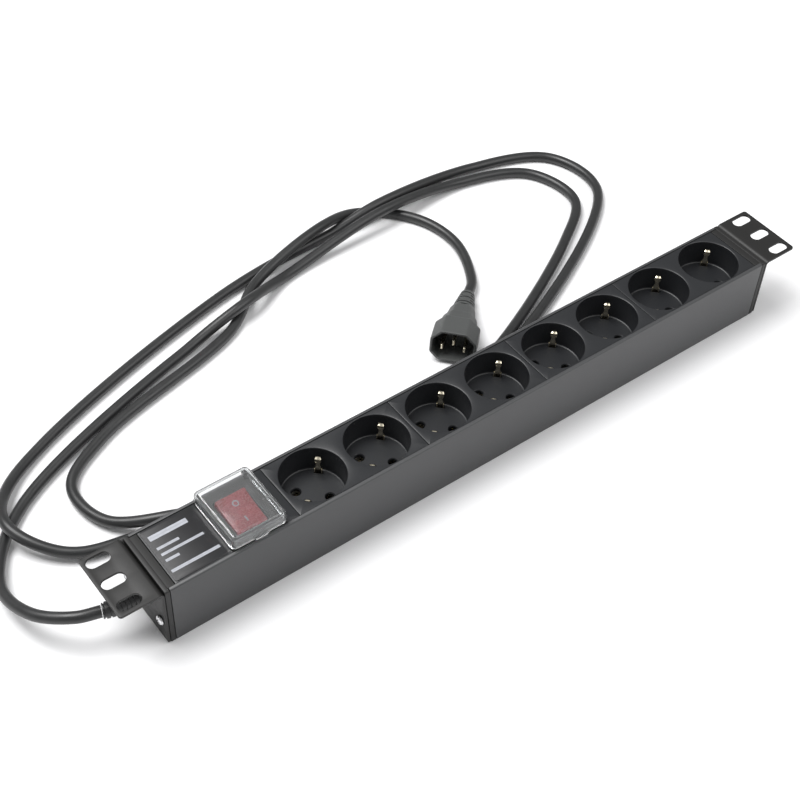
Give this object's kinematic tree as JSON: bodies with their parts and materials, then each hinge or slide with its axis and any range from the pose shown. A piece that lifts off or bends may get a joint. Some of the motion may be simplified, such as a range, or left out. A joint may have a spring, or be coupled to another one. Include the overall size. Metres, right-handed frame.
{
  "type": "rack power strip",
  "caption": "Horizontal 1U rack power strip with round earthed sockets, a rocker switch under a clear flip cover, slotted rack ears and a long captive cord with an inlet plug.",
  "frame": {"origin": "bottom centre of the strip, midway between the ears", "axes": "+X along the strip away from the switch and the cord, +Y to the back, +Z out of the sockets"},
  "size_m": [0.5192, 0.2247, 0.053],
  "materials": {
    "channel": "fine satin powder coat, dark grey",
    "bracket_steel": "black satin powder coat on bent steel",
    "cap_plastic": "black moulded plastic, lightly textured",
    "socket_plastic": "dark grey moulded plastic, fine spark texture",
    "label": "black printed film with plain pale bars",
    "screw_steel": "zinc plated steel",
    "brass": "nickel plated brass strip",
    "inner_plastic": "natural insulating plastic",
    "rocker_red": "translucent red polycarbonate",
    "cover_clear": "clear polycarbonate",
    "lamp_glass": "clear lamp glass",
    "cord_rubber": "satin black flexible PVC",
    "plug_rubber": "dark grey moulded PVC, a little lighter than the cord",
    "lead_brown": "brown PVC insulation",
    "lead_blue": "blue PVC insulation",
    "lead_green": "green PVC insulation"
  },
  "bodies": {
    "strip": {"housing": "channel", "end_cap_left": "cap_plastic", "end_cap_right": "cap_plastic", "switch_frame": "cap_plastic", "switch_body": "cap_plastic", "rack_bracket_left": "bracket_steel", "rack_bracket_right": "bracket_steel", "bracket_screw_left_front": "screw_steel", "bracket_screw_left_rear": "screw_steel", "bracket_screw_right_front": "screw_steel", "bracket_screw_right_rear": "screw_steel", "cover_hinge_pin_left": "screw_steel", "cover_hinge_pin_right": "screw_steel", "earth_stud": "screw_steel", "earth_nut": "screw_steel", "socket_block_1": "socket_plastic", "socket_block_2": "socket_plastic", "socket_block_3": "socket_plastic", "socket_block_4": "socket_plastic", "switch_panel": "socket_plastic", "earth_clip_1": "brass", "earth_clip_2": "brass", "earth_clip_3": "brass", "earth_clip_4": "brass", "earth_clip_5": "brass", "earth_clip_6": "brass", "earth_clip_7": "brass", "earth_clip_8": "brass", "busbar_live": "brass", "busbar_neutral": "brass", "busbar_earth": "brass", "switch_tab_live_in": "brass", "switch_tab_neutral_in": "brass", "switch_tab_live_out": "brass", "switch_tab_neutral_out": "brass", "plug_pin_live": "brass", "plug_pin_neutral": "brass", "plug_pin_earth": "brass", "block_base_1": "inner_plastic", "block_base_2": "inner_plastic", "block_base_3": "inner_plastic", "block_base_4": "inner_plastic", "bushing_nut": "inner_plastic", "label_plate": "label", "neon_lamp": "lamp_glass", "power_cord": "cord_rubber", "cord_bushing": "cord_rubber", "plug_body": "plug_rubber", "plug_relief": "plug_rubber", "lead_live_in": "lead_brown", "lead_live_out": "lead_brown", "lead_neutral_in": "lead_blue", "lead_neutral_out": "lead_blue", "lead_earth": "lead_green"},
    "switch_cover": {"switch_cover": "cover_clear"},
    "rocker": {"rocker": "rocker_red"}
  },
  "joints": [
    {"name": "cover_hinge", "type": "hinge", "parent": "strip", "child": "switch_cover", "pos_m": [-0.1573, 0.0183, 0.047], "axis": [-1, 0, 0], "range_deg": [0, 105]},
    {"name": "rocker_tilt", "type": "hinge", "parent": "strip", "child": "rocker", "pos_m": [-0.1573, 0, 0.0415], "axis": [-1, 0, 0], "range_deg": [0, 17]}
  ]
}
